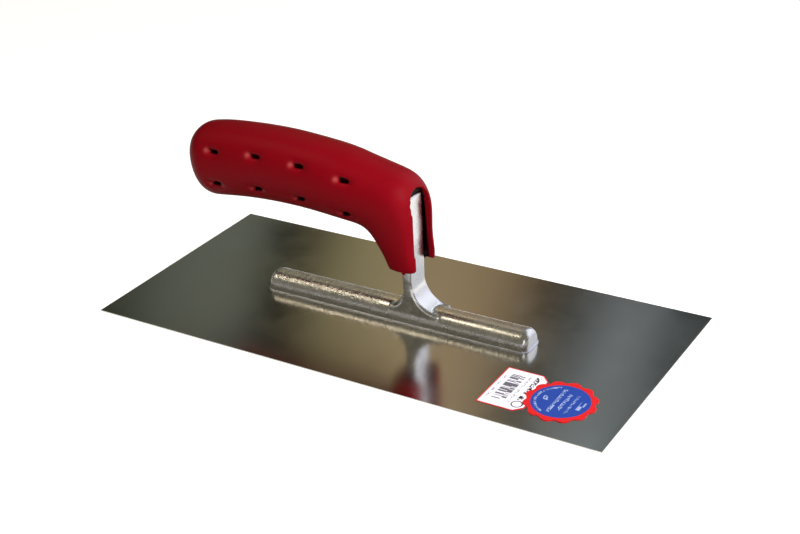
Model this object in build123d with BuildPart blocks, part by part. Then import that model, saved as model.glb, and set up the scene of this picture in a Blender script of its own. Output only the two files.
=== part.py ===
# Steel finishing trowel: sheet blade, cast aluminium mounting, hollow soft grip.
# Millimetres. The origin is the middle of the working face, +X is the toe, +Z is up.
import os
from math import copysign, cos, hypot, pi, sin, sqrt

from build123d import *

# Blade
blade_length = 280
blade_width = 130
blade_thickness = 0.7

# Spine of the mounting, centred on the blade
spine_length = 150
spine_width = 15.4
spine_height = 9.1
spine_end_radius = 3.6
spine_top_flat = 1.8

# Shank, the upright bar, and tang, the arm that it bends into inside the grip
shank_front_x = 12.7
shank_thickness = 5
shank_side_step = 0.7
front_web_radius = 14
rear_web_radius = 8.5
web_sink = 0.8
bar_edge_radius = 0.9
bend_radius = 1.5

# Rivets, driven from the working face into blind bores in the spine
rivet_count = 7
rivet_end_margin = 9
rivet_diameter = 5
rivet_head_overhang = 0.7
rivet_depth = 6

# Grip: an arched tube whose front end turns down into a neck around the shank
grip_rear_x = -115.4
grip_top_x = -68
grip_top_z = 89.4
grip_top_radius = 246
grip_under_x = -56
grip_under_z = 51.8
grip_under_radius = 333
grip_half_width = 17
grip_squareness = 2.2
grip_wall = 3.6
butt_radius = 12
elbow_length = 42
neck_bottom_z = 31.5
neck_squareness = 4.5
collar_height = 3.4
section_points = 16  # on the curve of each cross-section

# How the grip fits round the bar: the tang's place in it, and the gaps and walls at the neck
tang_rise = 16.2
tang_end_gap = 20.5
slot_side_gap = 1.5
slot_top_gap = 4
flap_wall = 3.2
flap_reach = 4.6
neck_back = 6.1
web_count = 3
web_pitch = 26
web_thickness = 3

# Vents: a slit in a shallow dish, in two rows on each side of the grip
vent_count = 4
vent_inset = 19.4
vent_pitch = 26
vent_row_rise = 8.9
slit_length = 6
slit_height = 1.9
dish_length = 14
dish_radius = 4.6
dish_depth = 1.1

# Stickers on the blade, placed from its toe and its near edge
sticker_edge_inset = 27.6
label_length = 22.4
label_width = 32.6
label_corner = 4
label_toe_inset = 55.6
label_thickness = 0.15
seal_toe_inset = 32.4
seal_radius = 15.6
seal_scallops = 12
seal_scallop_radius = 3.8
seal_scallop_reach = 1.4
seal_thickness = 0.3

spine_top_z = blade_thickness + spine_height
spine_top_radius = (spine_width - spine_top_flat) / 2
shank_width = spine_width - 2 * shank_side_step
shank_rear_x = shank_front_x - shank_thickness
web_z = spine_top_z - web_sink
web_bottom_z = blade_thickness + spine_height / 3
tang_top_z = grip_under_z + tang_rise
tang_bottom_z = tang_top_z - shank_thickness
tang_rear_x = grip_rear_x + grip_wall + tang_end_gap
tang_length = shank_front_x - tang_rear_x
neck_rear_x = shank_rear_x - neck_back
neck_front_x = shank_front_x + flap_reach
slot_half_width = shank_width / 2 + slot_side_gap
neck_half_width = slot_half_width + flap_wall
slot_height = tang_top_z + slot_top_gap - slot_half_width - neck_bottom_z
vent_first_x = grip_rear_x + vent_inset
rivet_pitch = (spine_length - 2 * rivet_end_margin) / (rivet_count - 1)
rivet_xs = [(place - (rivet_count - 1) / 2) * rivet_pitch for place in range(rivet_count)]
sticker_y = sticker_edge_inset - blade_width / 2
label_x = blade_length / 2 - label_toe_inset
seal_x = blade_length / 2 - seal_toe_inset


# Height on the arch of the grip's top or underside, each an arc with its own highest point
def arch_z(x, crown_x, crown_z, radius):
    return crown_z - radius + sqrt(radius**2 - (x - crown_x) ** 2)


# A station is one cross-section of the grip: the XZ points of its underside and of its top,
# half its width, and its squareness, where 2 is an ellipse and more is boxier.
def body_station(x):
    top_z = arch_z(x, grip_top_x, grip_top_z, grip_top_radius)
    under_z = arch_z(x, grip_under_x, grip_under_z, grip_under_radius)
    lean = (x - grip_top_x) / grip_top_radius
    shift = (top_z - under_z) / 2 * sin(lean)
    return (x - shift, under_z), (x + shift, top_z), grip_half_width, grip_squareness


elbow_x = neck_front_x - elbow_length
elbow_under, elbow_top, _, _ = body_station(elbow_x)
heel_rise = elbow_under[1] - neck_bottom_z
heel_run = neck_rear_x - elbow_under[0]

# The side view of the elbow: the heel behind the shank and the nose in front of it
with BuildLine(Plane.XZ) as elbow:
    heel_line = Spline(
        elbow_under,
        (neck_rear_x - 0.37 * heel_run, elbow_under[1] - 0.14 * heel_rise),
        (neck_rear_x - 0.18 * heel_run, elbow_under[1] - 0.46 * heel_rise),
        (neck_rear_x, neck_bottom_z),
        tangents=((grip_under_radius, grip_under_x - elbow_x), (1, -3)),
    )
    nose_line = Spline(
        elbow_top,
        (neck_front_x - 20.4, elbow_top[1] - 4.8),
        (neck_front_x - 7.4, elbow_top[1] - 9.2),
        (neck_front_x - 1.5, elbow_top[1] - 17),
        (neck_front_x, elbow_top[1] - 31),
        (neck_front_x, neck_bottom_z),
        tangents=((grip_top_radius, grip_top_x - elbow_x), (0, -1)),
    )


def elbow_station(along):
    under, top = heel_line @ along, nose_line @ along
    half_width = grip_half_width + (neck_half_width - grip_half_width) * along**2
    squareness = grip_squareness + (neck_squareness - grip_squareness) * along**2
    return (under.X, under.Z), (top.X, top.Z), half_width, squareness


# All stations from the butt to the rim, with the butt set in by the wall for the cavity
def grip_stations(wall=0.0):
    butt_x = grip_rear_x + wall
    stations = [body_station(butt_x + place / 6 * (elbow_x - butt_x)) for place in range(7)]
    stations += [elbow_station(place / 7) for place in range(1, 8)]
    return stations


# The closed curve of one station, drawn in the station's own plane and set in by a wall
def station_face(station, wall=0.0):
    under, top, half_width, squareness = station
    reach_x, reach_z = top[0] - under[0], top[1] - under[1]
    middle = ((under[0] + top[0]) / 2, 0, (under[1] + top[1]) / 2)
    half_height = hypot(reach_x, reach_z) / 2
    points = []
    for step in range(section_points):
        angle = 2 * pi * (step + 0.5) / section_points
        across = copysign(abs(cos(angle)) ** (2 / squareness), cos(angle))
        up = copysign(abs(sin(angle)) ** (2 / squareness), sin(angle))
        points.append((across * (half_width - wall), up * (half_height - wall)))
    with BuildSketch(Plane(origin=middle, x_dir=(0, 1, 0), z_dir=(reach_z, 0, -reach_x))) as face:
        with BuildLine():
            Spline(*points, periodic=True)
        make_face()
    return face.sketch


# One plane for each vent, on the grip's skin with its normal pointing out
def vent_planes(skin):
    planes = []
    for side in (-1, 1):
        for place in range(vent_count):
            x = vent_first_x + place * vent_pitch
            under, top, _, _ = body_station(x)
            for row in (-1, 1):
                z = (under[1] + top[1]) / 2 + row * vent_row_rise
                point, normal = skin.find_intersection_points(Axis((x, 0, z), (0, side, 0)))[-1]
                planes.append(Plane(origin=point, x_dir=(1, 0, 0), z_dir=normal))
    return planes


with BuildPart() as rivets:
    with BuildSketch():
        with Locations(*[(x, 0) for x in rivet_xs]):
            Circle(rivet_diameter / 2)
    extrude(amount=blade_thickness + rivet_depth)
    with Locations(*[(x, 0, blade_thickness / 2) for x in rivet_xs]):
        Cone(rivet_diameter / 2 + rivet_head_overhang, rivet_diameter / 2, blade_thickness)

with BuildPart() as blade:
    with BuildSketch():
        Rectangle(blade_length, blade_width)
    extrude(amount=blade_thickness)
    add(rivets.part, mode=Mode.SUBTRACT)

# The bar, with its foot webs sunk into the spine and its long edges rounded
with BuildPart() as bar:
    with BuildSketch(Plane.XZ):
        with BuildLine():
            toe = (shank_front_x + front_web_radius, web_z)
            heel = (shank_rear_x - rear_web_radius, web_z)
            Polyline(
                (shank_front_x, web_z + front_web_radius),
                (shank_front_x, tang_top_z),
                (tang_rear_x, tang_top_z),
                (tang_rear_x, tang_bottom_z),
                (shank_rear_x, tang_bottom_z),
                (shank_rear_x, web_z + rear_web_radius),
            )
            RadiusArc((shank_rear_x, web_z + rear_web_radius), heel, rear_web_radius)
            Polyline(heel, (heel[0], web_bottom_z), (toe[0], web_bottom_z), toe)
            RadiusArc(toe, (shank_front_x, web_z + front_web_radius), front_web_radius)
        make_face()
    extrude(amount=shank_width / 2, both=True)
    bends = bar.edges().filter_by(Axis.Y).group_by(Axis.Z)
    fillet(bends[-1].sort_by(Axis.X)[-1], bend_radius)
    side_edges = bar.faces().filter_by(Axis.Y).edges()
    fillet(side_edges.filter_by_position(Axis.Z, web_z, tang_top_z), bar_edge_radius)

# The casting: a round-topped spine, and the bar that stands on it and bends back
with BuildPart() as mounting:
    with BuildSketch(Plane.YZ.offset(-spine_length / 2)):
        with Locations((0, blade_thickness)):
            section = Rectangle(spine_width, spine_height, align=(Align.CENTER, Align.MIN))
        fillet(section.vertices().group_by(Axis.Y)[-1], spine_top_radius)
    extrude(amount=spine_length)
    ends = mounting.faces().sort_by(Axis.X)
    end_edges = ends[0].edges() + ends[-1].edges()
    end_edges -= end_edges.group_by(Axis.Z)[0]
    fillet(end_edges, spine_end_radius)
    add(bar.part)
    add(rivets.part, mode=Mode.SUBTRACT)

with BuildPart() as skin:
    loft(sections=[station_face(station) for station in grip_stations()])
    fillet(skin.faces().sort_by(Axis.X)[0].edges(), butt_radius)

# The hollow inside the grip, down to the top of the collar
with BuildPart() as cavity:
    loft(sections=[station_face(station, grip_wall) for station in grip_stations(grip_wall)])
    fillet(cavity.faces().sort_by(Axis.X)[0].edges(), butt_radius - grip_wall)
    with Locations((neck_front_x, 0, neck_bottom_z)):
        Box(2 * elbow_length, 3 * neck_half_width, 2 * collar_height, mode=Mode.SUBTRACT)

# Webs across the hollow, which carry the tang
with BuildPart() as webs:
    web_xs = [tang_rear_x + (place + 0.5) * web_pitch for place in range(web_count)]
    with Locations(*[(x, 0, tang_top_z) for x in web_xs]):
        Box(web_thickness, 4 * grip_half_width, 4 * grip_half_width)
    add(cavity.part, mode=Mode.INTERSECT)

with BuildPart() as dish:
    with BuildSketch(Plane.XZ):
        SlotOverall(dish_length, 2 * dish_radius)
        split(bisect_by=Plane.YZ.rotated((0, 0, 90)))
    revolve(axis=Axis.X)

with BuildPart() as grip:
    add(skin.part)
    add(cavity.part, mode=Mode.SUBTRACT)
    # the slot in front, arched above and open below
    with BuildSketch(Plane.YZ.offset(shank_front_x)):
        with Locations((0, neck_bottom_z)):
            SlotCenterToCenter(2 * slot_height, 2 * slot_half_width, rotation=90)
    extrude(amount=neck_front_x, mode=Mode.SUBTRACT)
    add(webs.part)
    # the collar and the webs hug the bar on its flat sides
    with Locations((shank_front_x, 0, neck_bottom_z - collar_height)):
        Box(
            shank_thickness,
            shank_width,
            tang_top_z - neck_bottom_z + collar_height,
            align=(Align.MAX, Align.CENTER, Align.MIN),
            mode=Mode.SUBTRACT,
        )
    with Locations((shank_front_x, 0, tang_top_z)):
        Box(
            tang_length,
            shank_width,
            shank_thickness,
            align=(Align.MAX, Align.CENTER, Align.MAX),
            mode=Mode.SUBTRACT,
        )
    for plane in vent_planes(skin.part):
        with BuildSketch(plane.offset(dish_radius)):
            SlotOverall(slit_length, slit_height)
        extrude(amount=-dish_radius - grip_wall - dish_depth, mode=Mode.SUBTRACT)
        with Locations(plane.offset(dish_radius - dish_depth)):
            add(dish.part, mode=Mode.SUBTRACT)

with BuildPart() as paper_label:
    with BuildSketch(Plane.XY.offset(blade_thickness)):
        with Locations((label_x, sticker_y)):
            tag = Rectangle(label_length, label_width)
        chamfer(tag.vertices().group_by(Axis.X)[-1], label_corner)
    extrude(amount=label_thickness)

with BuildPart() as round_seal:
    with BuildSketch(Plane.XY.offset(blade_thickness)):
        with Locations((seal_x, sticker_y)):
            Circle(seal_radius)
            with PolarLocations(seal_radius + seal_scallop_reach - seal_scallop_radius, seal_scallops):
                Circle(seal_scallop_radius)
    extrude(amount=seal_thickness)
    add(paper_label.part, mode=Mode.SUBTRACT)

os.makedirs("parts", exist_ok=True)
pieces = {
    "blade": blade,
    "mounting": mounting,
    "grip": grip,
    "rivets": rivets,
    "paper_label": paper_label,
    "round_seal": round_seal,
}
for name, piece in pieces.items():
    piece.part.label = name
    export_step(piece.part, f"parts/{name}.step")
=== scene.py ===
import math

import bmesh
import bpy
from mathutils import Matrix, Vector, noise


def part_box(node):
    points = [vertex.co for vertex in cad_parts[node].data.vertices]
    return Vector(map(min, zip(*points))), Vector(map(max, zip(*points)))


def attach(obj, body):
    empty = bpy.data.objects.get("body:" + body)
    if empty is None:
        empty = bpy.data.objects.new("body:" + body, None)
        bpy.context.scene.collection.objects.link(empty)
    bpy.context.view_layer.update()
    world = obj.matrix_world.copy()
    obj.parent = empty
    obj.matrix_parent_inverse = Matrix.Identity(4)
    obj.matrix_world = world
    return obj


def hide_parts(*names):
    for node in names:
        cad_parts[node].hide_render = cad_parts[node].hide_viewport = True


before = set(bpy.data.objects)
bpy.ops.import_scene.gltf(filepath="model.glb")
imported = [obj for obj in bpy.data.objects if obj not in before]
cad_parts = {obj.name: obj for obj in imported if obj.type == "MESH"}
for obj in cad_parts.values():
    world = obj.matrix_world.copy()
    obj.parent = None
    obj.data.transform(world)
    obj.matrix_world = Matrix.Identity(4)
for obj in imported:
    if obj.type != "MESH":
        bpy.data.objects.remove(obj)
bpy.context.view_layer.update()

mm = 0.001
noiseLow, noiseHigh = 0.3, 0.7  # nearly all of a noise texture's values lie between these


# One sRGB hex value, such as "b01522", as the linear colour that nodes and lights take
def hexToLinear(code):
    parts = [int(code[i:i + 2], 16) / 255 for i in (0, 2, 4)]
    return [p / 12.92 if p <= 0.04045 else ((p + 0.055) / 1.055) ** 2.4 for p in parts] + [1.0]


# Adds a node, sets its properties and inputs, and links the inputs that are given a socket
def addNode(tree, kind, inputs=None, **settings):
    node = tree.nodes.new(kind)
    for key, value in settings.items():
        setattr(node, key, value)
    for key, value in (inputs or {}).items():
        if isinstance(value, bpy.types.NodeSocket):
            tree.links.new(value, node.inputs[key])
        else:
            node.inputs[key].default_value = value
    return node


def newMaterial(name):
    material = bpy.data.materials.new(name)
    material.use_nodes = True
    material.node_tree.nodes.clear()
    return material, material.node_tree


def wear(piece, material):
    piece.data.materials.clear()
    piece.data.materials.append(material)


def zeroToOne(value):
    return min(max(value, 0), 1)


# The camera's place and turns in metres and degrees
camera = {
    "spot": (0.3460, -0.5379, 0.3517),
    "turn": 33.29,
    "rise": 26.89,
    "roll": -3.32,
    "lens": 65.47,
    "shiftX": 0.0207,
    "nearest": 0.01,
}


def makeCamera():
    data = bpy.data.cameras.new("camera")
    data.lens = camera["lens"]
    data.shift_x = camera["shiftX"]
    data.clip_start = camera["nearest"]
    eye = bpy.data.objects.new("camera", data)
    turn = Matrix.Rotation(math.radians(camera["turn"]), 4, "Z")
    rise = Matrix.Rotation(math.radians(90 - camera["rise"]), 4, "X")
    roll = Matrix.Rotation(math.radians(camera["roll"]), 4, "Z")
    eye.matrix_world = Matrix.Translation(camera["spot"]) @ turn @ rise @ roll
    bpy.context.scene.collection.objects.link(eye)
    bpy.context.scene.camera = eye
    bpy.context.scene.view_settings.view_transform = "Standard"


makeCamera()
print("camera ready")


# The studio: a pale floor, soft lights, and the backdrop that the steel mirrors
studio = {
    "floorSize": 6.0,
    "floorHex": "b4b2ae",
    "floorGlow": 0.80,  # what the eye sees of the floor beyond its own shading
    "floorInGloss": 1.2,  # and how much of that the metal mirrors
    "roomHex": "9c9684",
    "roomStrength": 0.56,
    "cardDistance": 1.5,
    "cardSize": (2.6, 1.8),
    "cardStrength": 1.6,
    "cardLift": (0.45, 0.65),  # from here to here up the backdrop it grows paler and greener
    "cardPaler": (1.42, 1.48, 1.5, 1),  # by these many times in red, green and blue
    "cardLean": 0.23,  # its stripes lean, by this much across for each height
    "wallTurn": -31,
    "wallSize": (1.95, 1.9),
    "wallStrength": (0.9, 1.5),  # at the height of the blade, and further up
    "wallLift": (0.1, 0.42),
    "wallHex": "f2f5ff",
    "cardPatch": (0.483, 0.57, 0.501),  # a dark patch between two slanting edges, left of an upright one
    "cardPatchSoft": (0.005, 0.01, 0.004),  # how far each of the three fades
    "cardPatchSlant": 0.185,
    "cardPatchHex": "8b7679",
    "cardCrown": (0.72, 0.80, 2.6),  # above the first height it brightens, this many times by the second
    # where each colour lies across the backdrop, from its left end at 0 to its right end at 1
    "cardStops": ((0.0, "20241c"), (0.33, "24281e"), (0.37, "545850"), (0.418, "5e625a"),
                  (0.434, "060502"), (0.458, "060502"), (0.470, "6e684c"), (0.50, "82785a"),
                  (0.56, "88745a"), (0.588, "7c684e"), (0.612, "3c3226"), (0.64, "1c201e"),
                  (0.687, "74787c"), (0.712, "181c1c"), (0.76, "282c2a"), (0.84, "3c403e"),
                  (0.89, "c8ccd8"), (1.0, "c8ccd8")),
    "lampsAimAt": (0, 0, 0.03),
}

# Each light: spot, size, power, colour, and whether gloss shows it
lights = {
    "window": ((0.46, -0.10, 0.48), (0.45, 0.45), 7.2, "f6f8ff", False),
    "ceiling": ((-0.515, -0.31, 0.862), (0.30, 0.26), 1.1, "fff0d0", True),
    "front": ((0.78, -0.6, 0.4), (0.2, 0.36), 1.3, "ffffff", True),
    "fill": ((0.75, -1.05, 0.45), (1.0, 0.8), 8.5, "ffffff", False),
}


def makeFloor():
    bm = bmesh.new()
    bmesh.ops.create_grid(bm, x_segments=1, y_segments=1, size=studio["floorSize"] / 2)
    mesh = bpy.data.meshes.new("floor")
    bm.to_mesh(mesh)
    bm.free()
    floor = bpy.data.objects.new("floor", mesh)
    bpy.context.scene.collection.objects.link(floor)
    material, tree = newMaterial("painted studio floor")
    path = addNode(tree, "ShaderNodeLightPath")
    paint = addNode(tree, "ShaderNodeBsdfPrincipled", {
        "Base Color": hexToLinear(studio["floorHex"]), "Roughness": 0.9, "Specular IOR Level": 0.1})
    glow = addNode(tree, "ShaderNodeEmission", {"Strength": studio["floorGlow"]})
    both = addNode(tree, "ShaderNodeAddShader", {0: paint.outputs[0], 1: glow.outputs[0]})
    share = addNode(tree, "ShaderNodeMath", {
        0: path.outputs["Is Glossy Ray"], 1: studio["floorInGloss"], 2: path.outputs["Is Camera Ray"]},
        operation="MULTIPLY_ADD")
    shader = addNode(tree, "ShaderNodeMixShader", {
        0: share.outputs[0], 1: paint.outputs[0], 2: both.outputs[0]})
    addNode(tree, "ShaderNodeOutputMaterial", {"Surface": shader.outputs[0]})
    wear(floor, material)


# The room is white to the eye and a dimmer grey to the object
def makeRoom():
    world = bpy.data.worlds.new("room")
    bpy.context.scene.world = world
    world.use_nodes = True
    tree = world.node_tree
    tree.nodes.clear()
    path = addNode(tree, "ShaderNodeLightPath")
    seen = addNode(tree, "ShaderNodeBackground", {"Color": hexToLinear("ffffff"), "Strength": 1.0})
    lit = addNode(tree, "ShaderNodeBackground", {
        "Color": hexToLinear(studio["roomHex"]), "Strength": studio["roomStrength"]})
    mix = addNode(tree, "ShaderNodeMixShader", {
        0: path.outputs["Is Camera Ray"], 1: lit.outputs[0], 2: seen.outputs[0]})
    addNode(tree, "ShaderNodeOutputWorld", {"Surface": mix.outputs[0]})


def makeLight(name, spot, size, power, hexCode, inGloss):
    data = bpy.data.lights.new(name, "AREA")
    data.shape = "RECTANGLE"
    data.size, data.size_y = size
    data.energy = power
    data.color = hexToLinear(hexCode)[:3]
    lamp = bpy.data.objects.new(name, data)
    aim = Vector(studio["lampsAimAt"]) - Vector(spot)
    lamp.rotation_euler = aim.to_track_quat("-Z", "Y").to_euler()
    lamp.location = spot
    lamp.visible_glossy = inGloss
    bpy.context.scene.collection.objects.link(lamp)


# An upright card round the object at a turn from the +Y axis, seen only in gloss
def makeCard(name, turn, size, material):
    bm = bmesh.new()
    bmesh.ops.create_grid(bm, x_segments=1, y_segments=1, size=0.5)
    uv = bm.loops.layers.uv.new("across")
    for face in bm.faces:
        for loop in face.loops:
            loop[uv].uv = (loop.vert.co.x + 0.5, loop.vert.co.y + 0.5)
    facing = Matrix.Rotation(math.radians(turn), 4, "Z")
    rise = math.tan(math.radians(camera["rise"])) * studio["cardDistance"]
    upright = Matrix.Rotation(math.radians(90), 4, "X")
    stand = facing @ Matrix.Translation((0, studio["cardDistance"], rise)) @ upright
    bmesh.ops.transform(bm, matrix=stand @ Matrix.Diagonal((*size, 1, 1)), verts=bm.verts)
    mesh = bpy.data.meshes.new(name)
    bm.to_mesh(mesh)
    bm.free()
    card = bpy.data.objects.new(name, mesh)
    bpy.context.scene.collection.objects.link(card)
    wear(card, material)
    card.visible_camera = False
    card.visible_diffuse = False
    card.visible_shadow = False


# The cloth that the blade mirrors: khaki in the middle and dark to both sides
def makeBackdropMaterial():
    material, tree = newMaterial("backdrop cloth")
    place = addNode(tree, "ShaderNodeUVMap", uv_map="across")
    split = addNode(tree, "ShaderNodeSeparateXYZ", {0: place.outputs[0]})
    low, high = studio["cardLift"]
    height = addNode(tree, "ShaderNodeMath", {0: split.outputs[1], 1: low}, operation="SUBTRACT")
    leaning = addNode(tree, "ShaderNodeMath", {
        0: height.outputs[0], 1: studio["cardLean"], 2: split.outputs[0]}, operation="MULTIPLY_ADD")
    ramp = addNode(tree, "ShaderNodeValToRGB", {0: leaning.outputs[0]})
    stops = ramp.color_ramp.elements
    while len(stops) < len(studio["cardStops"]):
        stops.new(0.5)
    for stop, (across, code) in zip(stops, studio["cardStops"]):
        stop.position = across
        stop.color = hexToLinear(code)
    lift = addNode(tree, "ShaderNodeMapRange", {0: split.outputs[1], 1: low, 2: high})
    pale = addNode(tree, "ShaderNodeMix", {
        "Factor": lift.outputs[0], 6: hexToLinear("ffffff"), 7: studio["cardPaler"]}, data_type="RGBA")
    both = addNode(tree, "ShaderNodeMix", {
        "Factor": 1.0, 6: ramp.outputs[0], 7: pale.outputs[2]}, data_type="RGBA", blend_type="MULTIPLY")
    lower, upper, side = studio["cardPatch"]
    lowerSoft, upperSoft, sideSoft = studio["cardPatchSoft"]
    slant = addNode(tree, "ShaderNodeMath", {
        0: split.outputs[0], 1: -studio["cardPatchSlant"], 2: split.outputs[1]}, operation="MULTIPLY_ADD")
    above = addNode(tree, "ShaderNodeMapRange", {
        0: slant.outputs[0], 1: lower - lowerSoft, 2: lower + lowerSoft})
    below = addNode(tree, "ShaderNodeMapRange", {
        0: slant.outputs[0], 1: upper + upperSoft, 2: upper - upperSoft})
    left = addNode(tree, "ShaderNodeMapRange", {0: split.outputs[0], 1: side + sideSoft, 2: side - sideSoft})
    band = addNode(tree, "ShaderNodeMath", {0: above.outputs[0], 1: below.outputs[0]}, operation="MULTIPLY")
    patch = addNode(tree, "ShaderNodeMath", {0: band.outputs[0], 1: left.outputs[0]}, operation="MULTIPLY")
    both = addNode(tree, "ShaderNodeMix", {
        "Factor": patch.outputs[0], 6: both.outputs[2], 7: hexToLinear(studio["cardPatchHex"])},
        data_type="RGBA", blend_type="MULTIPLY")
    start, full, times = studio["cardCrown"]
    strength = studio["cardStrength"]
    crown = addNode(tree, "ShaderNodeMapRange", {
        0: split.outputs[1], 1: start, 2: full, 3: strength, 4: strength * times})
    glow = addNode(tree, "ShaderNodeEmission", {"Color": both.outputs[2], "Strength": crown.outputs[0]})
    addNode(tree, "ShaderNodeOutputMaterial", {"Surface": glow.outputs[0]})
    return material


# The white wall that the front of the shank mirrors, dimmer towards the floor
def makeWallMaterial():
    material, tree = newMaterial("white wall")
    place = addNode(tree, "ShaderNodeUVMap", uv_map="across")
    split = addNode(tree, "ShaderNodeSeparateXYZ", {0: place.outputs[0]})
    low, high = studio["wallLift"]
    dim, full = studio["wallStrength"]
    lift = addNode(tree, "ShaderNodeMapRange", {0: split.outputs[1], 1: low, 2: high, 3: dim, 4: full})
    glow = addNode(tree, "ShaderNodeEmission", {
        "Color": hexToLinear(studio["wallHex"]), "Strength": lift.outputs[0]})
    addNode(tree, "ShaderNodeOutputMaterial", {"Surface": glow.outputs[0]})
    return material


makeFloor()
makeRoom()
for name, settings in lights.items():
    makeLight(name, *settings)
makeCard("backdrop", camera["turn"], studio["cardSize"], makeBackdropMaterial())
makeCard("wall", studio["wallTurn"], studio["wallSize"], makeWallMaterial())
print("studio ready")


# A copy of a CAD node's mesh with its loose triangles merged
def mergedCopy(nodeName):
    bm = bmesh.new()
    bm.from_mesh(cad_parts[nodeName].data)
    bmesh.ops.remove_doubles(bm, verts=bm.verts, dist=0.002 * mm)
    bmesh.ops.recalc_face_normals(bm, faces=bm.faces)
    return bm


def placePiece(bm, name, nodeName):
    mesh = bpy.data.meshes.new(name)
    bm.to_mesh(mesh)
    bm.free()
    piece = bpy.data.objects.new(name, mesh)
    bpy.context.scene.collection.objects.link(piece)
    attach(piece, "root")
    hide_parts(nodeName)
    return piece


# Applies whatever modifiers the piece has, and returns its mesh to work on
def bakeModifiers(piece):
    graph = bpy.context.evaluated_depsgraph_get()
    mesh = bpy.data.meshes.new_from_object(piece.evaluated_get(graph))
    piece.modifiers.clear()
    old = piece.data
    piece.data = mesh
    bpy.data.meshes.remove(old)
    bm = bmesh.new()
    bm.from_mesh(mesh)
    return bm


def remesh(piece, size):
    step = piece.modifiers.new("skin", "REMESH")
    step.mode = "VOXEL"
    step.voxel_size = size
    return bakeModifiers(piece)


def soften(bm, turns, wanted=None, factor=0.5):
    verts = [v for v in bm.verts if wanted is None or wanted(v.co)]
    for _ in range(turns):
        bmesh.ops.smooth_vert(bm, verts=verts, factor=factor,
                              use_axis_x=True, use_axis_y=True, use_axis_z=True)


# Keeps every point inside the box of the CAD node, so that the shape never grows
def keepInside(bm, nodeName):
    low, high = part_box(nodeName)
    for vert in bm.verts:
        vert.co = Vector(min(max(c, a), b) for c, a, b in zip(vert.co, low, high))


def smoothFaces(bm):
    for face in bm.faces:
        face.smooth = True


# The blade is a cold-rolled steel sheet, satin polished along its length
blade = {
    "steelHexes": ("c2c1bb", "d0cfcb"),
    "edgeRound": 0.1 * mm,
    "sharpFrom": 60,  # an edge is sharp past this many degrees
    "rimBeyond": (130 * mm, 60 * mm),  # and belongs to the rim past this X or Y
    "roughness": (0.10, 0.18),  # where it is cleanest, and where it is smudged
    "smudgeSize": 45 * mm,
    "scratchSpacing": 0.35 * mm,  # real polish lines are finer, drawn this coarse to show
    "scratchLength": 60,  # how many times longer than wide they are
    "scratchRoughness": 0.06,
    "scratchStrength": 0.05,
    "scratchDepth": 0.02 * mm,
}


# Cold-rolled steel, satin polished: a dark, blurred mirror with a fine grain along its length
def makeBladeMaterial():
    material, tree = newMaterial("cold-rolled steel, satin polished")
    place = addNode(tree, "ShaderNodeTexCoord")
    spacing = 1 / blade["scratchSpacing"]
    stretch = addNode(tree, "ShaderNodeMapping", {
        "Vector": place.outputs["Object"],
        "Scale": (spacing / blade["scratchLength"], spacing, spacing)})
    lines = addNode(tree, "ShaderNodeTexNoise", {"Vector": stretch.outputs[0], "Scale": 1.0, "Detail": 3.0})
    smudge = addNode(tree, "ShaderNodeTexNoise", {
        "Vector": place.outputs["Object"], "Scale": 1 / blade["smudgeSize"], "Detail": 4.0, "Roughness": 0.6})
    clean, smudged = blade["roughness"]
    rough = addNode(tree, "ShaderNodeMapRange", {
        0: smudge.outputs[0], 1: noiseLow, 2: noiseHigh, 3: clean, 4: smudged})
    rougher = addNode(tree, "ShaderNodeMath", {
        0: lines.outputs[0], 1: blade["scratchRoughness"], 2: rough.outputs[0]}, operation="MULTIPLY_ADD")
    tone = addNode(tree, "ShaderNodeMix", {
        "Factor": smudge.outputs[0], 6: hexToLinear(blade["steelHexes"][0]),
        7: hexToLinear(blade["steelHexes"][1])}, data_type="RGBA")
    grain = addNode(tree, "ShaderNodeBump", {
        "Height": lines.outputs[0], "Strength": blade["scratchStrength"], "Distance": blade["scratchDepth"]})
    shader = addNode(tree, "ShaderNodeBsdfPrincipled", {
        "Base Color": tone.outputs[2], "Metallic": 1.0, "Roughness": rougher.outputs[0],
        "Normal": grain.outputs[0]})
    addNode(tree, "ShaderNodeOutputMaterial", {"Surface": shader.outputs[0]})
    return material


def makeBlade():
    bm = mergedCopy("blade")
    bmesh.ops.dissolve_limit(bm, angle_limit=math.radians(1), verts=bm.verts, edges=bm.edges)
    sharpFrom = math.radians(blade["sharpFrom"])
    sharp = [e for e in bm.edges if e.is_manifold and e.calc_face_angle() > sharpFrom]
    farX, farY = blade["rimBeyond"]
    rim = [e for e in sharp if any(abs(v.co.x) > farX or abs(v.co.y) > farY for v in e.verts)]
    bmesh.ops.bevel(bm, geom=rim, offset=blade["edgeRound"], segments=2, profile=0.5,
                    affect="EDGES", material=-1)
    piece = placePiece(bm, "blade_sheet", "blade")
    wear(piece, makeBladeMaterial())


makeBlade()
print("blade ready")


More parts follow.
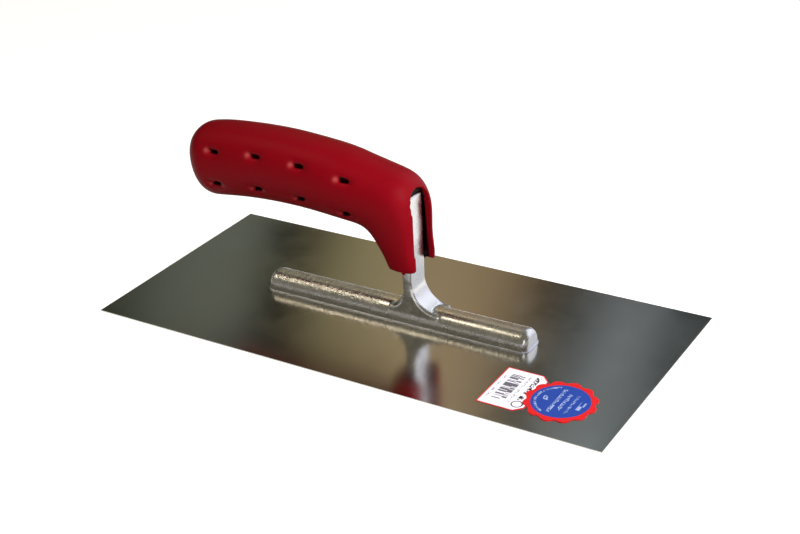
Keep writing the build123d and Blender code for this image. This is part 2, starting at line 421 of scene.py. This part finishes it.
# The mounting is sand-cast aluminium, tumbled, with a coarse skin behind the shank
casting = {
    "metalHexes": ("cfcfd2", "dedddc"),
    "voxel": 0.45 * mm,
    "softTurns": 2,
    "webTurns": 9,  # the web in front of the shank is smoothed this much more
    "webReach": (30 * mm, 24 * mm),  # up to this X and this Z
    "skinDepth": 0.10 * mm,
    "skinGrain": 1.3 * mm,
    "skinFractal": (0.8, 2.0, 3),
    "shankShare": 0.05,  # how coarse the skin is on the shank, and how much more it is on the spine
    "spineShare": 0.1,
    "spineTop": 12 * mm,
    "topShare": 0.8,  # and how much more again on the spine's upper side, behind this X
    "coarseFrom": -5 * mm,
    "coarseFade": 4 * mm,
    "topTilt": 1.5,
    "sideShare": 0.7,  # how coarse the sides are below this height
    "sideFrom": 7.5 * mm,
    "sideFade": 2 * mm,
    "roughness": (0.21, 0.33),
    "waveSize": 6 * mm,
    "sandSize": 0.8 * mm,  # real sand grains are finer, drawn this coarse to show
    "sandStrength": 0.8,
    "sandDepth": 0.24 * mm,
    "ledgeHighlightHex": "e2e6f4",  # a painted highlight: the ledge is paler and bluer than the metal round it, and duller
    "flashRoughness": 0.2,
    "ledgeHeight": 0.65 * mm,
    "ledgeReach": 0.5 * mm,
    "ledgeCorner": 4.0 * mm,
    "ledgeRound": 0.35 * mm,
}


# Sand-cast aluminium, tumbled: a bright soft mirror that glitters where the sand left it coarse
def makeCastingMaterial():
    material, tree = newMaterial("sand-cast aluminium, tumbled")
    place = addNode(tree, "ShaderNodeTexCoord")
    sand = addNode(tree, "ShaderNodeTexNoise", {
        "Vector": place.outputs["Object"], "Scale": 1 / casting["sandSize"], "Detail": 4.0,
        "Roughness": 0.6})
    waves = addNode(tree, "ShaderNodeTexNoise", {
        "Vector": place.outputs["Object"], "Scale": 1 / casting["waveSize"], "Detail": 3.0})
    bright, dull = casting["roughness"]
    rough = addNode(tree, "ShaderNodeMapRange", {
        0: waves.outputs[0], 1: noiseLow, 2: noiseHigh, 3: bright, 4: dull})
    tone = addNode(tree, "ShaderNodeMix", {
        "Factor": waves.outputs[0], 6: hexToLinear(casting["metalHexes"][0]),
        7: hexToLinear(casting["metalHexes"][1])}, data_type="RGBA")
    # The ledge is painted paler and bluer as a highlight along the foot, and made duller
    flashAndHighlight = addNode(tree, "ShaderNodeAttribute", attribute_name="flashAndHighlight")
    tone = addNode(tree, "ShaderNodeMix", {
        "Factor": flashAndHighlight.outputs["Fac"], 6: tone.outputs[2], 7: hexToLinear(casting["ledgeHighlightHex"])},
        data_type="RGBA")
    rough = addNode(tree, "ShaderNodeMath", {
        0: flashAndHighlight.outputs["Fac"], 1: casting["flashRoughness"], 2: rough.outputs[0]},
        operation="MULTIPLY_ADD")
    coarse = addNode(tree, "ShaderNodeAttribute", attribute_name="coarse")
    height = addNode(tree, "ShaderNodeMath", {
        0: sand.outputs[0], 1: coarse.outputs["Fac"]}, operation="MULTIPLY")
    skin = addNode(tree, "ShaderNodeBump", {
        "Height": height.outputs[0], "Strength": casting["sandStrength"], "Distance": casting["sandDepth"]})
    shader = addNode(tree, "ShaderNodeBsdfPrincipled", {
        "Base Color": tone.outputs[2], "Metallic": 1.0, "Roughness": rough.outputs[0],
        "Normal": skin.outputs[0]})
    addNode(tree, "ShaderNodeOutputMaterial", {"Surface": shader.outputs[0]})
    return material


# Moves the skin in and out like the grains of the sand mould, and notes where it is coarse
def castSkin(bm):
    bm.normal_update()
    layer = bm.verts.layers.float.new("coarse")
    for vert in bm.verts:
        co = vert.co
        share = casting["shankShare"]
        if co.z < casting["spineTop"]:
            behind = zeroToOne((casting["coarseFrom"] - co.x) / casting["coarseFade"])
            upper = zeroToOne(vert.normal.z * casting["topTilt"])
            lower = zeroToOne((casting["sideFrom"] - co.z) / casting["sideFade"])
            share += casting["spineShare"] + casting["topShare"] * behind * upper
            share = max(share, casting["sideShare"] * lower)
        vert[layer] = share
        lumps = noise.fractal(co / casting["skinGrain"], *casting["skinFractal"])
        vert.co += vert.normal * casting["skinDepth"] * share * lumps


# The thin flash ledge that the mould leaves round the foot of the spine, marked for its painted highlight
def footLedge(bm):
    low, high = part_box("mounting")
    length = 2 * high.x + 2 * casting["ledgeReach"]
    width = high.y - low.y + 2 * casting["ledgeReach"]
    first = len(bm.verts)
    slab = bmesh.ops.create_cube(bm, size=1.0)["verts"]
    bmesh.ops.scale(bm, verts=slab, vec=(length, width, casting["ledgeHeight"]))
    bmesh.ops.translate(bm, verts=slab, vec=(0, 0, low.z + casting["ledgeHeight"] / 2))
    edges = {e for v in slab for e in v.link_edges}
    upright = [e for e in edges if abs(e.verts[0].co.z - e.verts[1].co.z) > 0.5 * casting["ledgeHeight"]]
    done = bmesh.ops.bevel(bm, geom=upright, offset=casting["ledgeCorner"], segments=5, profile=0.5,
                           affect="EDGES", material=-1)
    top = low.z + casting["ledgeHeight"] - 0.01 * mm
    corners = {v for v in {*slab, *done["verts"]} if v.is_valid}
    rim = {e for v in corners for e in v.link_edges if all(w.co.z > top for w in e.verts)}
    rim = [e for e in rim if sum(f.normal.z < 0.5 for f in e.link_faces) == 1]
    bmesh.ops.bevel(bm, geom=rim, offset=casting["ledgeRound"], segments=2, profile=0.5,
                    affect="EDGES", material=-1)
    # Marks the ledge, which gets the painted highlight
    flashAndHighlight = bm.verts.layers.float.new("flashAndHighlight")
    bm.verts.ensure_lookup_table()
    for vert in bm.verts[first:]:
        vert[flashAndHighlight] = 1.0


def makeCasting():
    piece = placePiece(mergedCopy("mounting"), "casting", "mounting")
    bm = remesh(piece, casting["voxel"])
    webX, webZ = casting["webReach"]
    soften(bm, casting["softTurns"])
    soften(bm, casting["webTurns"], lambda co: 0 < co.x < webX and co.z < webZ)
    castSkin(bm)
    keepInside(bm, "mounting")
    footLedge(bm)
    bm.normal_update()
    smoothFaces(bm)
    bm.to_mesh(piece.data)
    bm.free()
    wear(piece, makeCastingMaterial())
    print("casting faces", len(piece.data.polygons))


makeCasting()
print("casting ready")

# The front lamp is flagged off all but the casting, or it would glare in the blade from behind
litPieces = bpy.data.collections.new("lit by the front lamp")
litPieces.objects.link(bpy.data.objects["casting"])
bpy.data.objects["front"].light_linking.receiver_collection = litPieces
print("front lamp flagged")


# The grip is soft PVC, moulded, with a fine satin grain
grip = {
    "pvcHexes": ("70040f", "7a0511"),
    "shadeHex": "0c0305",  # the dark inside the vents and the slot, painted on the skin
    "glintHex": "d0706c",  # the light on the rim of each vent's dish, painted on as well
    "voxel": 0.66 * mm,
    "softTurns": 1,
    "handleTurns": 2,  # how much more the handle is smoothed, behind the slot
    "dishTurns": 16,  # and the dishes round the vents
    "roughness": (0.38, 0.48),
    "ior": 1.47,
    "specularLevel": 0.06,
    "cloudSize": 18 * mm,
    "grainSize": 0.35 * mm,  # the real grain is finer, drawn this coarse to show
    "grainStrength": 0.12,
    "grainDepth": 0.05 * mm,
    "nubSize": 1.0 * mm,
    "nubSpot": (11.2 * mm, -10.6 * mm, 31.0 * mm),
    "slotFrom": 11 * mm,
    "topArch": (-68 * mm, 89.4 * mm, 246 * mm),
    "underArch": (-56 * mm, 51.8 * mm, 333 * mm),
    "ventXs": [(-96 + 26 * place) * mm for place in range(4)],
    "ventRise": 8.9 * mm,
    "dishReach": (9 * mm, 6.5 * mm),
    "slitReach": (3.7 * mm, 1.8 * mm),
    # the painted shade in each vent's slit, half its length and half its height
    "slitShadeSize": (2.0 * mm, 1.1 * mm),
    "slitShadeTaper": 0.25,  # the painted shade in a slit is this much narrower at its front end, and wider at its back end
    "lowerTilt": -0.25,  # the lower row is where the skin faces down past this
    "lowerSlitShade": 0.7,  # and the painted shade in its slits is this share as wide
    "ventsBeyond": 8 * mm,
    "glintAway": (-4.2 * mm, 1.15 * mm),  # how far from the vent's middle, and how wide
    "glintShare": (0.28, 0.08),  # in the upper row and in the lower
    "neckHeights": (34 * mm, 72 * mm),
    "neckFronts": (14.9 * mm, 12.6 * mm),  # the dark ends at these X, at the slot's foot and at its top
    "neckBack": 2 * mm,
    "neckInward": 0.4,  # and it lies on the skin that faces the middle by this much
    "shadeFade": 0.6 * mm,
    "archMiddle": 63.5 * mm,
    "archRadius": 8.3 * mm,
    "archFront": 16.6 * mm,
}


# Soft PVC, moulded satin: an even deep red with a faint, wide sheen
def makeGripMaterial():
    material, tree = newMaterial("soft PVC, moulded satin")
    place = addNode(tree, "ShaderNodeTexCoord")
    grain = addNode(tree, "ShaderNodeTexNoise", {
        "Vector": place.outputs["Object"], "Scale": 1 / grip["grainSize"], "Detail": 2.0})
    cloud = addNode(tree, "ShaderNodeTexNoise", {
        "Vector": place.outputs["Object"], "Scale": 1 / grip["cloudSize"], "Detail": 3.0})
    tone = addNode(tree, "ShaderNodeMix", {
        "Factor": cloud.outputs[0], 6: hexToLinear(grip["pvcHexes"][0]),
        7: hexToLinear(grip["pvcHexes"][1])}, data_type="RGBA")
    # The painted highlight beside each vent and the painted shade in the vents and the slot lie over the red
    for layer, code in (("glint", "glintHex"), ("shade", "shadeHex")):
        share = addNode(tree, "ShaderNodeAttribute", attribute_name=layer)
        tone = addNode(tree, "ShaderNodeMix", {
            "Factor": share.outputs["Fac"], 6: tone.outputs[2], 7: hexToLinear(grip[code])},
            data_type="RGBA")
    glossy, matt = grip["roughness"]
    rough = addNode(tree, "ShaderNodeMapRange", {
        0: cloud.outputs[0], 1: noiseLow, 2: noiseHigh, 3: glossy, 4: matt})
    bump = addNode(tree, "ShaderNodeBump", {
        "Height": grain.outputs[0], "Strength": grip["grainStrength"], "Distance": grip["grainDepth"]})
    shader = addNode(tree, "ShaderNodeBsdfPrincipled", {
        "Base Color": tone.outputs[2], "Roughness": rough.outputs[0], "Normal": bump.outputs[0],
        "IOR": grip["ior"], "Specular IOR Level": grip["specularLevel"]})
    addNode(tree, "ShaderNodeOutputMaterial", {"Surface": shader.outputs[0]})
    return material


# Height on one of the grip's two arches, each given by its crown and radius
def archZ(x, crownX, crownZ, radius):
    return crownZ - radius + math.sqrt(radius ** 2 - (x - crownX) ** 2)


# Along and up from the middle of the nearest vent on the grip's side
def fromVent(co):
    x = min(grip["ventXs"], key=lambda middle: abs(co.x - middle))
    middle = (archZ(x, *grip["topArch"]) + archZ(x, *grip["underArch"])) / 2
    rise = co.z - middle
    return co.x - x, rise - math.copysign(grip["ventRise"], rise)


# True in the dish round a vent, and false round its slit, which stays crisp
def inDish(co):
    along, up = (abs(a) for a in fromVent(co))
    nearSlit = along < grip["slitReach"][0] and up < grip["slitReach"][1]
    return along < grip["dishReach"][0] and up < grip["dishReach"][1] and not nearSlit


# How much dark is painted on a point inside the neck, from 0 to 1
def neckShade(co, normal):
    fromMiddle = math.hypot(co.y, max(co.z - grip["archMiddle"], 0))
    underArch = co.z > grip["archMiddle"] and fromMiddle < grip["archRadius"]
    if underArch and grip["neckBack"] < co.x < grip["archFront"]:
        return 1.0
    if co.x < grip["neckBack"] or co.y * normal.y > -grip["neckInward"] * abs(co.y):
        return 0.0
    foot, top = grip["neckHeights"]
    share = zeroToOne((co.z - foot) / (top - foot))
    edge = grip["neckFronts"][0] * (1 - share) + grip["neckFronts"][1] * share
    return zeroToOne((edge - co.x) / grip["shadeFade"])


# Notes on each point how much light and how much dark is painted there
def paintGrip(bm):
    bm.normal_update()
    glint = bm.verts.layers.float.new("glint")
    shade = bm.verts.layers.float.new("shade")
    away, width = grip["glintAway"]
    halfLength, halfHeight = grip["slitShadeSize"]
    for vert in bm.verts:
        if vert.co.x < 0 and abs(vert.co.y) > grip["ventsBeyond"]:
            along, up = fromVent(vert.co)
            upperRow = vert.normal.z > grip["lowerTilt"]
            taper = (1 if upperRow else grip["lowerSlitShade"]) * (1 - grip["slitShadeTaper"] * along / halfLength)
            # Painted shade in the slit of the nearest vent
            vert[shade] = float(abs(along) < halfLength and abs(up) < halfHeight * taper)
            most = grip["glintShare"][0 if upperRow else 1]
            vert[glint] = most * math.exp(-((along - away) ** 2 + up ** 2) / width ** 2)
        else:
            vert[shade] = neckShade(vert.co, vert.normal)


def makeGrip():
    piece = placePiece(mergedCopy("grip"), "grip_sleeve", "grip")
    bm = remesh(piece, grip["voxel"])
    soften(bm, grip["softTurns"])
    soften(bm, grip["handleTurns"], lambda co: co.x < grip["slotFrom"])
    soften(bm, grip["dishTurns"], inDish)
    keepInside(bm, "grip")
    paintGrip(bm)
    # The gate that the mould left under the near flap
    nub = bmesh.ops.create_icosphere(bm, subdivisions=2, radius=grip["nubSize"])
    bmesh.ops.translate(bm, verts=nub["verts"], vec=grip["nubSpot"])
    smoothFaces(bm)
    bm.to_mesh(piece.data)
    bm.free()
    wear(piece, makeGripMaterial())
    print("grip faces", len(piece.data.polygons))


makeGrip()
print("grip ready")


# Position on a sticker in millimetres from a chosen point
def stickerPlace(tree, origin):
    place = addNode(tree, "ShaderNodeTexCoord")
    flat = addNode(tree, "ShaderNodeMapping", {
        "Vector": place.outputs["Object"], "Location": (-origin.x / mm, -origin.y / mm, 0),
        "Scale": (1 / mm, 1 / mm, 0)})
    return flat.outputs[0]


# A row of small cells, some inked and some bare, which reads as fine print from a step away
def printRow(tree, flat, row):
    middle, half, start, end, cellAlong, cellAcross, bare = row
    split = addNode(tree, "ShaderNodeSeparateXYZ", {0: flat})
    inWidth = addNode(tree, "ShaderNodeMath", {
        0: split.outputs[0], 1: middle, 2: half}, operation="COMPARE")
    inLength = addNode(tree, "ShaderNodeMath", {
        0: split.outputs[1], 1: (start + end) / 2, 2: (end - start) / 2}, operation="COMPARE")
    inRow = addNode(tree, "ShaderNodeMath", {
        0: inWidth.outputs[0], 1: inLength.outputs[0]}, operation="MULTIPLY")
    cell = addNode(tree, "ShaderNodeVectorMath", {0: flat, 1: (cellAcross, cellAlong, 1)}, operation="SNAP")
    chance = addNode(tree, "ShaderNodeTexWhiteNoise", {"Vector": cell.outputs[0]}, noise_dimensions="3D")
    inked = addNode(tree, "ShaderNodeMath", {0: chance.outputs["Value"], 1: bare}, operation="GREATER_THAN")
    return addNode(tree, "ShaderNodeMath", {0: inRow.outputs[0], 1: inked.outputs[0]}, operation="MULTIPLY")


# Lays the inks one over another on the bare sticker, each where its mask is 1
def layInks(tree, bareHex, inks):
    colour = hexToLinear(bareHex)
    for mask, inkHex in inks:
        over = addNode(tree, "ShaderNodeMix", {
            "Factor": mask.outputs[0], 6: colour, 7: hexToLinear(inkHex)}, data_type="RGBA")
        colour = over.outputs[2]
    return colour


# The paper label is a price tag, its print drawn as plain bars and dashes, with sizes in millimetres
paperLabel = {
    "paperHex": "e4e0e8",
    "redHex": "c40f14",
    "inkHex": "1c1a1e",
    "barInkHex": "5c5860",
    "greyInkHex": "9a969e",
    "roughness": 0.45,
    "border": 0.6,
    "corner": 4.0,
    # rows of print: middle and half-width across, start and end along, cell size along and across,
    # share left bare
    "blackRows": ((17.3, 1.2, 8.8, 13.0, 0.6, 0.6, 0.35), (17.3, 1.2, 14.6, 30.0, 0.6, 0.6, 0.35)),
    "barRows": ((8.0, 3.4, 6.0, 28.0, 0.42, 9.0, 0.45),),  # real bars are finer, drawn this coarse to show
    "greyRows": ((2.4, 0.5, 4.0, 27.0, 0.5, 0.5, 0.6), (13.5, 0.6, 5.0, 29.0, 0.45, 0.4, 0.5)),
    "ring": (17.9, 5.6, 2.5, 0.3),  # its middle, its radius and half its line
}


# Coated paper, printed: an almost white card with a thin red border and black and grey print
def makePaperMaterial():
    material, tree = newMaterial("coated paper, printed")
    low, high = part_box("paper_label")
    flat = stickerPlace(tree, low)
    # Distance to the nearest side, from the position folded about the middle
    middle = ((high.x - low.x) / mm / 2, (high.y - low.y) / mm / 2, 0)
    centred = addNode(tree, "ShaderNodeVectorMath", {0: flat, 1: middle}, operation="SUBTRACT")
    folded = addNode(tree, "ShaderNodeVectorMath", {0: centred.outputs[0]}, operation="ABSOLUTE")
    inward = addNode(tree, "ShaderNodeVectorMath", {0: middle, 1: folded.outputs[0]}, operation="SUBTRACT")
    sides = addNode(tree, "ShaderNodeSeparateXYZ", {0: inward.outputs[0]})
    toSide = addNode(tree, "ShaderNodeMath", {
        0: sides.outputs[0], 1: sides.outputs[1]}, operation="MINIMUM")
    # The two cut corners are on the side away from the low X edge
    right = addNode(tree, "ShaderNodeSeparateXYZ", {0: centred.outputs[0]})
    toRight = addNode(tree, "ShaderNodeMath", {0: middle[0], 1: right.outputs[0]}, operation="SUBTRACT")
    both = addNode(tree, "ShaderNodeMath", {0: toRight.outputs[0], 1: sides.outputs[1]}, operation="ADD")
    diagonal = math.sqrt(0.5)
    toCut = addNode(tree, "ShaderNodeMath", {
        0: both.outputs[0], 1: diagonal, 2: -paperLabel["corner"] * diagonal}, operation="MULTIPLY_ADD")
    inset = addNode(tree, "ShaderNodeMath", {0: toSide.outputs[0], 1: toCut.outputs[0]}, operation="MINIMUM")
    border = addNode(tree, "ShaderNodeMath", {
        0: inset.outputs[0], 1: paperLabel["border"]}, operation="LESS_THAN")
    inks = [(border, paperLabel["redHex"])]
    for rows, inkHex in (("blackRows", "inkHex"), ("barRows", "barInkHex"), ("greyRows", "greyInkHex")):
        inks += [(printRow(tree, flat, row), paperLabel[inkHex]) for row in paperLabel[rows]]
    x, y, radius, line = paperLabel["ring"]
    far = addNode(tree, "ShaderNodeVectorMath", {0: flat, 1: (x, y, 0)}, operation="DISTANCE")
    ring = addNode(tree, "ShaderNodeMath", {0: far.outputs["Value"], 1: radius, 2: line}, operation="COMPARE")
    inks.append((ring, paperLabel["inkHex"]))
    shader = addNode(tree, "ShaderNodeBsdfPrincipled", {
        "Base Color": layInks(tree, paperLabel["paperHex"], inks), "Roughness": paperLabel["roughness"]})
    addNode(tree, "ShaderNodeOutputMaterial", {"Surface": shader.outputs[0]})
    return material


# The round seal is a scalloped vinyl sticker, its print drawn as plain dashes, with sizes in millimetres
roundSeal = {
    "redHex": "c40f14",
    "blueHex": "173a8c",
    "paleHex": "8f9cc0",
    "roughness": 0.35,
    "discRadius": 13.6,
    # rows of print, given as the paper label's are
    "paleRows": ((-1.9, 0.9, -10.0, 10.0, 0.5, 0.5, 0.5), (1.9, 0.9, -7.0, 7.0, 0.5, 0.5, 0.5),
                 (5.6, 0.6, -8.4, 8.0, 0.45, 0.4, 0.6), (9.9, 1.3, -3.4, 3.4, 4.0, 0.8, 0.45),
                 (-7.2, 1.4, -1.6, 1.6, 0.8, 0.8, 0.5)),
    "arc": (11.6, 0.6, 67.5, 0.045),  # middle radius, half-width, degrees to each side, cell in radians
    "arcCells": (0.4, 0.55),  # cell size outwards, share left bare
}


# Vinyl, printed: a red scalloped rim round a deep blue disc with pale print, a bit glossier than paper
def makeSealMaterial():
    material, tree = newMaterial("vinyl sticker, printed")
    low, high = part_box("round_seal")
    flat = stickerPlace(tree, (low + high) / 2)
    far = addNode(tree, "ShaderNodeVectorMath", {0: flat}, operation="LENGTH")
    disc = addNode(tree, "ShaderNodeMath", {
        0: far.outputs["Value"], 1: roundSeal["discRadius"]}, operation="LESS_THAN")
    inks = [(disc, roundSeal["blueHex"])]
    inks += [(printRow(tree, flat, row), roundSeal["paleHex"]) for row in roundSeal["paleRows"]]
    # A row bent round the middle, on radius and angle in place of across and along
    radius, half, sweep, cell = roundSeal["arc"]
    split = addNode(tree, "ShaderNodeSeparateXYZ", {0: flat})
    back = addNode(tree, "ShaderNodeMath", {0: split.outputs[0], 1: -1.0}, operation="MULTIPLY")
    angle = addNode(tree, "ShaderNodeMath", {0: split.outputs[1], 1: back.outputs[0]}, operation="ARCTAN2")
    bent = addNode(tree, "ShaderNodeCombineXYZ", {0: far.outputs["Value"], 1: angle.outputs[0]})
    reach = math.radians(sweep)
    arcRow = (radius, half, -reach, reach, cell, *roundSeal["arcCells"])
    inks.append((printRow(tree, bent.outputs[0], arcRow), roundSeal["paleHex"]))
    shader = addNode(tree, "ShaderNodeBsdfPrincipled", {
        "Base Color": layInks(tree, roundSeal["redHex"], inks), "Roughness": roundSeal["roughness"]})
    addNode(tree, "ShaderNodeOutputMaterial", {"Surface": shader.outputs[0]})
    return material


wear(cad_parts["paper_label"], makePaperMaterial())
wear(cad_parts["round_seal"], makeSealMaterial())
print("stickers ready")


# The rivets are steel, their heads ground flush with the working face
rivets = {
    "steelHex": "b9b7b2",
    "grindSize": 0.4 * mm,  # real grinding marks are finer, drawn this coarse to show
    "roughness": (0.26, 0.38),
}


# Mild steel, ground flush: a dull grey disc, a little cloudier than the sheet round it
def makeRivetMaterial():
    material, tree = newMaterial("mild steel, ground flush")
    place = addNode(tree, "ShaderNodeTexCoord")
    marks = addNode(tree, "ShaderNodeTexNoise", {
        "Vector": place.outputs["Object"], "Scale": 1 / rivets["grindSize"], "Detail": 2.0})
    bright, dull = rivets["roughness"]
    rough = addNode(tree, "ShaderNodeMapRange", {
        0: marks.outputs[0], 1: noiseLow, 2: noiseHigh, 3: bright, 4: dull})
    shader = addNode(tree, "ShaderNodeBsdfPrincipled", {
        "Base Color": hexToLinear(rivets["steelHex"]), "Metallic": 1.0, "Roughness": rough.outputs[0]})
    addNode(tree, "ShaderNodeOutputMaterial", {"Surface": shader.outputs[0]})
    return material


wear(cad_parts["rivets"], makeRivetMaterial())
print("rivets ready")
